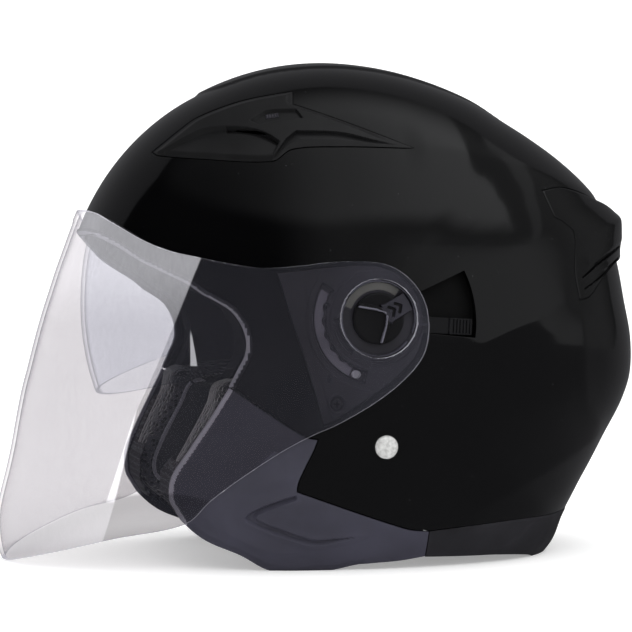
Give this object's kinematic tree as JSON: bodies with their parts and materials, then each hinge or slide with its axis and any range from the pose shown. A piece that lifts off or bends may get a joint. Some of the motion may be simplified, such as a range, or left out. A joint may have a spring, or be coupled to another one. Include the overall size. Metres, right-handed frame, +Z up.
{
  "type": "motorcycle helmet",
  "caption": "Open-face motorcycle helmet with a long hinged clear face shield, a geared drop-down sun visor worked by a side lever, vents, padded liner and buckled chin strap.",
  "frame": {"origin": "centre of the bounding box's footprint on the resting plane, which lies directly under the sun visor's pivot axis; the shield's pivot axis is 4.4 mm behind it and 1.8 mm above it", "axes": "+Z up, -X out of the face opening, -Y the wearer's left side"},
  "size_m": [0.3524, 0.2484, 0.2697],
  "materials": {
    "shell_paint": "gloss black lacquer",
    "vent_plastic": "semi-matte black",
    "jaw_plastic": "matte dark grey, violet cast",
    "trim_plastic": "satin dark grey",
    "seal_rubber": "matte grey rubber",
    "liner_foam": "black bead foam",
    "pad_fabric": "black mesh fabric",
    "mechanism_plastic": "satin black moulded",
    "clear_lens": "clear polycarbonate",
    "smoke_lens": "smoke polycarbonate",
    "gear_plastic": "natural acetal",
    "steel": "brushed",
    "rivet_steel": "bright satin",
    "screw_steel": "black zinc",
    "webbing": "black woven webbing",
    "buckle_plastic": "black nylon",
    "buckle_red": "red nylon"
  },
  "bodies": {
    "helmet": {"shell": "shell_paint", "eyeport_gasket": "seal_rubber", "jaw_panel_left": "jaw_plastic", "jaw_panel_right": "jaw_plastic", "rear_trim": "trim_plastic", "top_vent_cover_left": "vent_plastic", "top_vent_cover_right": "vent_plastic", "rear_vent": "vent_plastic", "impact_liner": "liner_foam", "crown_pad": "pad_fabric", "cheek_pad_left": "pad_fabric", "cheek_pad_right": "pad_fabric", "neck_roll": "pad_fabric", "pivot_base_left": "mechanism_plastic", "pivot_base_right": "mechanism_plastic", "base_screw_left": "screw_steel", "base_screw_right": "screw_steel", "drive_plate": "steel", "visor_pin_left": "steel", "visor_pin_right": "steel", "strap_rivet_left": "rivet_steel", "strap_rivet_right": "rivet_steel", "strap_washer_left": "steel", "strap_washer_right": "steel", "chin_strap_left": "webbing", "chin_strap_right": "webbing", "buckle_body": "steel", "buckle_pin": "steel"},
    "face_shield": {"face_shield": "clear_lens"},
    "sun_visor": {"sun_visor": "smoke_lens", "visor_drive_gear": "gear_plastic"},
    "visor_lever": {"visor_lever": "mechanism_plastic"},
    "visor_idler_gear": {"visor_idler_gear": "gear_plastic"},
    "release_knob_left": {"release_knob_left": "mechanism_plastic"},
    "release_knob_right": {"release_knob_right": "mechanism_plastic"},
    "top_vent_slider_left": {"top_vent_slider_left": "vent_plastic"},
    "top_vent_slider_right": {"top_vent_slider_right": "vent_plastic"},
    "buckle_lever": {"buckle_lever": "buckle_red"},
    "buckle_tongue": {"buckle_tongue": "buckle_plastic"}
  },
  "joints": [
    {"name": "shield_hinge", "type": "hinge", "parent": "helmet", "child": "face_shield", "pos_m": [0.0044, 0, 0.1318], "axis": [0, 1, 0], "range_deg": [0, 60]},
    {"name": "visor_hinge", "type": "hinge", "parent": "helmet", "child": "sun_visor", "pos_m": [0, 0, 0.13], "axis": [0, 1, 0], "range_deg": [0, 38]},
    {"name": "visor_lever_hinge", "type": "hinge", "parent": "helmet", "child": "visor_lever", "pos_m": [0, 0, 0.13], "axis": [0, 1, 0], "range_deg": [-24.5, 0]},
    {"name": "visor_idler_spin", "type": "hinge", "parent": "helmet", "child": "visor_idler_gear", "pos_m": [0.01884, 0, 0.11681], "axis": [0, 1, 0], "range_deg": [-137, 0]},
    {"name": "release_knob_left_turn", "type": "hinge", "parent": "helmet", "child": "release_knob_left", "pos_m": [0.0044, 0, 0.1318], "axis": [0, 1, 0], "range_deg": [0, 45]},
    {"name": "release_knob_right_turn", "type": "hinge", "parent": "helmet", "child": "release_knob_right", "pos_m": [0.0044, 0, 0.1318], "axis": [0, 1, 0], "range_deg": [0, 45]},
    {"name": "top_vent_slider_left_slide", "type": "slide", "parent": "helmet", "child": "top_vent_slider_left", "axis": [0.9582, -0.2417, 0.1533], "range_m": [-0.004, 0.006]},
    {"name": "top_vent_slider_right_slide", "type": "slide", "parent": "helmet", "child": "top_vent_slider_right", "axis": [0.9582, 0.2417, 0.1533], "range_m": [-0.004, 0.006]},
    {"name": "buckle_lever_hinge", "type": "hinge", "parent": "helmet", "child": "buckle_lever", "pos_m": [0.0101, -0.0206, 0.0264], "axis": [-1, 0, 0], "range_deg": [0, 30]},
    {"name": "buckle_tongue_slide", "type": "slide", "parent": "helmet", "child": "buckle_tongue", "axis": [0, 1, 0], "range_m": [0, 0.012]}
  ],
  "couplings": [
    {"joint": "visor_lever_hinge", "follows": "visor_hinge", "ratio": -0.64286},
    {"joint": "visor_idler_spin", "follows": "visor_hinge", "ratio": -3.6}
  ]
}
